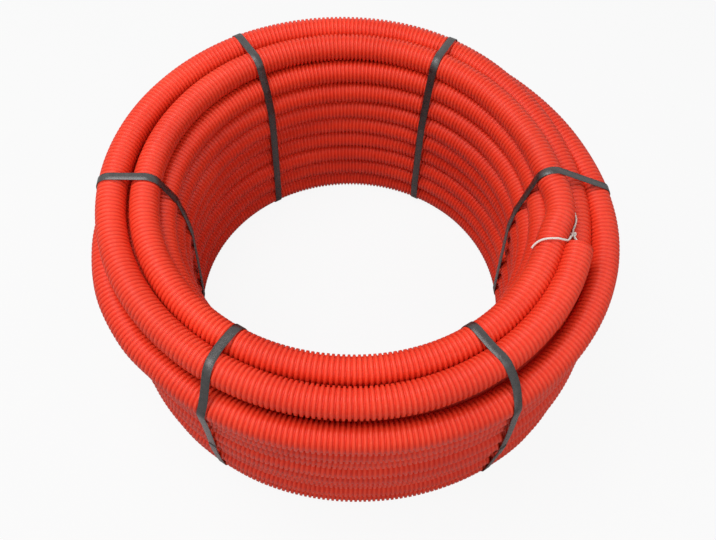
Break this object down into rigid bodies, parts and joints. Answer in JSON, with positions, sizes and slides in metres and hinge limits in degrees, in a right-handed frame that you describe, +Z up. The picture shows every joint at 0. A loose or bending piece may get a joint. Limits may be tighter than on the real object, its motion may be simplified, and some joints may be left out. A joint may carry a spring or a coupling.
{
  "type": "coil of corrugated cable duct",
  "caption": "Coil of orange-red corrugated plastic cable duct, wound in layers, held by flat straps, with a pull cord hanging out of its free end.",
  "frame": {"origin": "on the floor, on the axis of the inner turns, in the middle of the coil's eye", "axes": "+Z up along the coil's axis, +X towards the free end, +Y the way the free end's mouth faces"},
  "size_m": [0.7349, 0.732, 0.347],
  "materials": {
    "duct": "satin ribbed polyethylene, orange-red",
    "strap": "black strapping band, semi-gloss",
    "cord": "white twisted cord"
  },
  "bodies": {
    "root": {"duct_coil": "duct", "strap_right": "strap", "strap_back_right": "strap", "strap_back_left": "strap", "strap_left": "strap", "strap_front_left": "strap", "strap_front_right": "strap", "pull_cord": "cord"}
  },
  "joints": []
}
